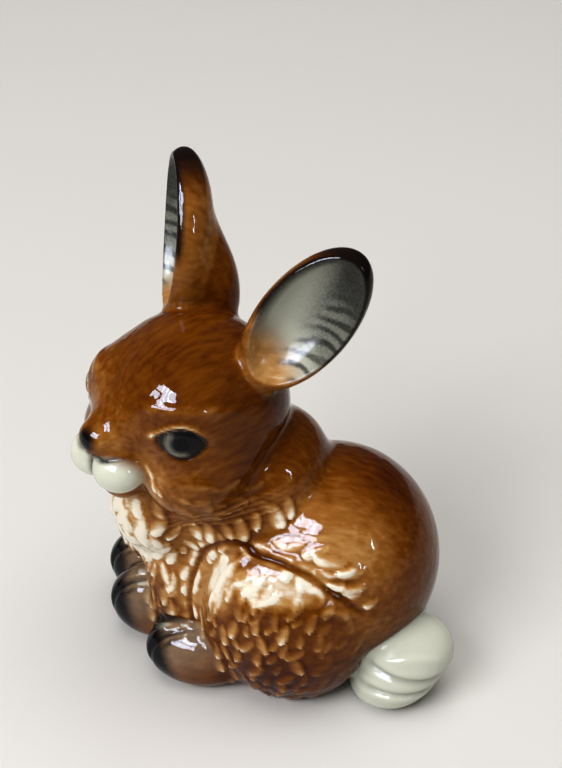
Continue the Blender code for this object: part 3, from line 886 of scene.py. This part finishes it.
def ear_dusk(ear, outer, height):
    """How black an ear's inside is: smoky towards its tip and edge, with dark ribs on its outer half."""
    edge = np.hypot(ear[:, 0] / (EAR_WIDTH / 2), height * 2 - 1)
    waves = RIBS_UP * ear[:, 2] - RIBS_ACROSS * outer + RIB_BEND * np.sin(ear[:, 2])
    rib = soft_step(-0.3, 0.7, np.sin(waves))
    ribbed = soft_step(0.0, 2.0, outer) * soft_step(0.75, 0.55, height)
    dusk = DUSK + OUTER_DUSK * soft_step(-4.0, 2.5, outer + 9 * (height - 0.6))
    dusk = np.maximum(dusk, EDGE_DUSK * soft_step(0.55, 0.92, edge))
    dusk *= soft_step(0.12, 0.42, height) * (1 - BETWEEN_RIBS * ribbed * (1 - rib))
    low_ribs = soft_step(-0.5, 2.5, outer) * soft_step(0.1, 0.2, height) * soft_step(0.65, 0.5, height)
    return np.maximum(dusk, RIB_BLACK * rib * low_ribs)


def paint_ear(coat, points, forms, place):
    """Paints an ear's back brown with a black tip and rim, and its inside pale under the dusk."""
    leaf, _, hollow = forms
    ear = into(points, ear_frame(*place))
    outer = ear[:, 0] * math.copysign(1, place[2])
    height = ear[:, 2] / EAR_LENGTH
    slanted = height + EAR_SLANT * outer
    on_ear = soft_step(1.0, 0.4, distance(points, leaf))
    hollow_gap = distance(points, hollow)
    inside = soft_step(0.45, 0.0, hollow_gap) * on_ear
    outside = (1 - inside) * on_ear
    tip = soft_step(0.68, 0.95, height)
    rim = soft_step(1.6, 0.8, np.abs(hollow_gap)) * soft_step(0.25, 0.4, height)
    lay(coat, "pale", inside * soft_step(0.12, 0.34, slanted))
    lay(coat, "black", FULL_BLACK * np.maximum(tip, rim) * outside + ear_dusk(ear, outer, height) * inside)
    coat["glaze"] -= EAR_FOOT_THINS * inside * soft_step(0.34, 0.14, slanted)
    coat["glaze"] -= EAR_BACK_THINS * outside * soft_step(0.9, 0.55, height)
    coat["roughness"] += EAR_DULLER * inside


def attribute_on(made, name, kind, field, values):
    """Stores values on the vertices of the mesh."""
    layer = made.data.attributes.new(name, kind, "POINT")
    layer.data.foreach_set(field, values.astype(np.float32).ravel())


def painted(made, points, relief, lit, paler):
    """Stores the glaze's depth, the black, the pale paint, the roughness and the grain at each point."""
    head = into(points, head_frame())
    folded = both_sides(head)
    along, up, level = eye_place(folded)
    crest = crests(made, relief)
    # The glaze's depth also carries the painted highlight on the tufts' lit sides and painted shade in
    # hollows.
    coat = {
        "glaze": np.full(len(points), GLAZE_DEPTH),
        "black": np.zeros(len(points)),
        "pale": np.zeros(len(points)),
        "roughness": np.full(len(points), GLAZE_ROUGHNESS),
    }
    glaze_body(coat, points, folded)
    glaze_fur(coat, points, level, crest, lit, paler)
    paint_tail(coat, points, crest)
    paint_muzzle(coat, points, head, folded)
    paint_paws(coat, points)
    paint_eyes(coat, along, up, level)
    for forms, place in zip(EAR_FORMS, EARS.values()):
        paint_ear(coat, points, forms, place)
    for name, values in coat.items():
        attribute_on(made, name, "FLOAT", "value", values)
    attribute_on(made, "grain", "FLOAT_VECTOR", "vector", brushed_grain(points, head))


def brushed_grain(points, head):
    """Where each point lies in the brushed grain of the glaze, which runs along the head and the back."""
    forms = placed(HEAD.values(), head_frame())
    on_head = np.min([distance(points, form) for form in forms], axis=0) < HEAD_REACH
    return np.where(on_head[:, None], head * np.array(HEAD_GRAIN), points * np.array(BODY_GRAIN))


def modelled():
    """The glazed figure, in millimetres."""
    parts = [ellipsoid("lump", form) for form in SOLID_FORMS]
    parts += [hollowed(*forms) for forms in EAR_FORMS]
    hare = fused(parts)
    points = move_onto_skin(positions(hare))
    normals = unit(skin_slope(points))
    carving = strokes(points)
    bare = 1 - np.clip(-carving / BARE_GROOVE, 0, 1)
    tufts = all_tufts()
    fur, paler = fur_relief(points, normals, tufts)
    # Each tuft's painted highlight: how far its relief falls away towards its lit side.
    lit = (fur - fur_relief(points + np.array(PAINTED_LIGHT_SIDE), normals, tufts)[0]) * bare
    fur *= bare
    relief = fur + carving + eye_relief(both_sides(into(points, head_frame())))
    painted(hare, points, relief, lit, paler * bare)
    points = points + normals * relief[:, None]
    hare.data.vertices.foreach_set("co", points.ravel())
    cut_foot(hare)
    return hare


def seated(made):
    """Brings the mesh to metres and onto the middle of the solid's box."""
    points = positions(made)
    low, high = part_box("hare")
    middle = (points.min(axis=0) + points.max(axis=0)) / 2 * MM
    shift = np.array((low + high) / 2) - middle
    shift[2] = 0
    made.data.vertices.foreach_set("co", (points * MM + shift).ravel())
    made.data.update()
    made.data.shade_smooth()


def node(tree, kind, inputs=None, **settings):
    """A shader node with its inputs set, or linked where they are given as sockets."""
    made = tree.nodes.new("ShaderNode" + kind)
    for name, value in settings.items():
        setattr(made, name, value)
    for key, value in (inputs or {}).items():
        if isinstance(value, bpy.types.NodeSocket):
            tree.links.new(value, made.inputs[key])
        else:
            made.inputs[key].default_value = value
    return made


def stored(tree, name, output="Fac"):
    """A value stored on the mesh."""
    return node(tree, "Attribute", attribute_name=name).outputs[output]


def noise(tree, place, scale, detail):
    """Noise between 0 and 1."""
    return node(tree, "TexNoise", {"Vector": place, "Scale": scale, "Detail": detail}).outputs["Fac"]


def swung(tree, place, scale, detail, reach):
    """Noise spread to either side of nought, as far as its reach."""
    ends = {"From Min": 0.3, "From Max": 0.7, "To Min": -reach, "To Max": reach}
    return node(tree, "MapRange", {"Value": noise(tree, place, scale, detail), **ends}).outputs["Result"]


def maths(tree, operation, *values, **settings):
    """The result of one step of arithmetic."""
    return node(tree, "Math", dict(enumerate(values)), operation=operation, **settings).outputs[0]


def over(tree, share, under, colour):
    """A colour laid over what is under it."""
    return node(tree, "MixRGB", {"Fac": share, "Color1": under, "Color2": colour}).outputs["Color"]


def glaze_colour(tree, depth):
    """The glaze's colour at a depth."""
    ramp = node(tree, "ValToRGB", {"Fac": depth})
    stops = ramp.color_ramp.elements
    while len(stops) < len(GLAZE_COLOURS):
        stops.new(0.5)
    for stop, (position, colour) in zip(stops, GLAZE_COLOURS):
        stop.position = position
        stop.color = colour
    return ramp.outputs["Color"]


def sprayed(tree, place, black):
    """The black, speckled where it thins out."""
    speck = maths(tree, "SUBTRACT", noise(tree, place, *SPECKS), 0.5)
    thin = maths(tree, "MULTIPLY", black, maths(tree, "SUBTRACT", 1.0, black))
    specks = maths(tree, "MULTIPLY", speck, maths(tree, "MULTIPLY", thin, black))
    return maths(tree, "MULTIPLY_ADD", specks, SPECK_STRENGTH, black, use_clamp=True)


def glaze_material():
    """Clear brown glaze: cream where it is thin, gold, orange brown and near black where it is deep."""
    material = bpy.data.materials.new("brown glaze")
    material.use_nodes = True
    tree = material.node_tree
    shader = tree.nodes["Principled BSDF"]
    place = node(tree, "TexCoord").outputs["Object"]
    cloudy = swung(tree, place, *CLOUDS)
    brushed = swung(tree, stored(tree, "grain", "Vector"), *BRUSHING)
    depth = maths(tree, "ADD", maths(tree, "ADD", stored(tree, "glaze"), cloudy), brushed)
    lighter = over(tree, stored(tree, "pale"), glaze_colour(tree, depth), PALE_PAINT)
    darker = over(tree, sprayed(tree, place, stored(tree, "black")), lighter, BLACK_PAINT)
    tree.links.new(darker, shader.inputs["Base Color"])
    tree.links.new(stored(tree, "roughness"), shader.inputs["Roughness"])
    bump = {"Height": noise(tree, place, *RIPPLES), "Strength": RIPPLE_STRENGTH, "Distance": RIPPLE_HEIGHT}
    tree.links.new(node(tree, "Bump", bump).outputs["Normal"], shader.inputs["Normal"])
    shader.inputs["Specular IOR Level"].default_value = SPECULAR_LEVEL
    shader.inputs["IOR"].default_value = GLAZE_IOR
    return material


def floor_material():
    """Plain and matt."""
    material = bpy.data.materials.new("pale floor")
    material.use_nodes = True
    shader = material.node_tree.nodes["Principled BSDF"]
    shader.inputs["Base Color"].default_value = FLOOR_COLOUR
    shader.inputs["Roughness"].default_value = FLOOR_ROUGHNESS
    return material


def direction(azimuth, elevation):
    """The way towards a place round the figure: azimuth 0 is in front of it and 90 at its left."""
    a, e = math.radians(azimuth), math.radians(elevation)
    return Vector((math.sin(a) * math.cos(e), -math.cos(a) * math.cos(e), math.sin(e)))


def light(name, azimuth, elevation, away, size, power, colour):
    """A rectangle of light that faces the figure."""
    data = bpy.data.lights.new(name, "AREA")
    data.shape = "RECTANGLE"
    data.size, data.size_y = size
    data.energy = power
    data.color = colour
    made = bpy.data.objects.new(name, data)
    back = direction(azimuth, elevation)
    made.location = back * away + Vector(LIGHT_AIM)
    made.rotation_euler = back.to_track_quat("Z", "Y").to_euler()
    bpy.context.scene.collection.objects.link(made)
    return made


def stage_set():
    """The floor and a faint bluish studio round it."""
    bpy.ops.mesh.primitive_plane_add(size=FLOOR_SIZE, location=(0, 0, 0))
    floor = bpy.context.object
    floor.name = "floor"
    floor.data.materials.append(floor_material())
    world = bpy.data.worlds.new("studio")
    bpy.context.scene.world = world
    world.use_nodes = True
    background = world.node_tree.nodes["Background"]
    background.inputs["Color"].default_value = ROOM_COLOUR
    background.inputs["Strength"].default_value = ROOM_STRENGTH
    bpy.context.scene.view_settings.view_transform = "Standard"
    bpy.context.scene.view_settings.look = "Medium High Contrast"


def lights():
    """Two windows that only the glaze mirrors, and soft daylight that it doesn't."""
    for azimuth in PANE_AZIMUTHS:
        for elevation in PANE_ELEVATIONS:
            pane = light("pane", WINDOW_AZIMUTH + azimuth, WINDOW_ELEVATION + elevation, *PANE)
            pane.visible_diffuse = False
    far = light("far window", 147, 25, *FAR_WINDOW)
    far.visible_diffuse = False
    day = light("day", WINDOW_AZIMUTH, WINDOW_ELEVATION, *DAY)
    day.visible_glossy = False
    sky = light("sky", 240, 84, *SKY)
    sky.visible_glossy = False


def camera():
    """Looks down on the figure's left side."""
    data = bpy.data.cameras.new("camera")
    data.lens = LENS
    data.sensor_width = SENSOR
    made = bpy.data.objects.new("camera", data)
    back = direction(CAMERA_AZIMUTH, CAMERA_ELEVATION)
    made.location = Vector(CAMERA_AIM) + back * CAMERA_DISTANCE
    made.rotation_euler = back.to_track_quat("Z", "Y").to_euler()
    bpy.context.scene.collection.objects.link(made)
    bpy.context.scene.camera = made


def main():
    """The glazed figure in place of its solid, on the floor, in front of the camera."""
    hare = modelled()
    seated(hare)
    hare.data.materials.clear()
    hare.data.materials.append(glaze_material())
    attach(hare, "root")
    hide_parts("hare")
    stage_set()
    lights()
    camera()


main()
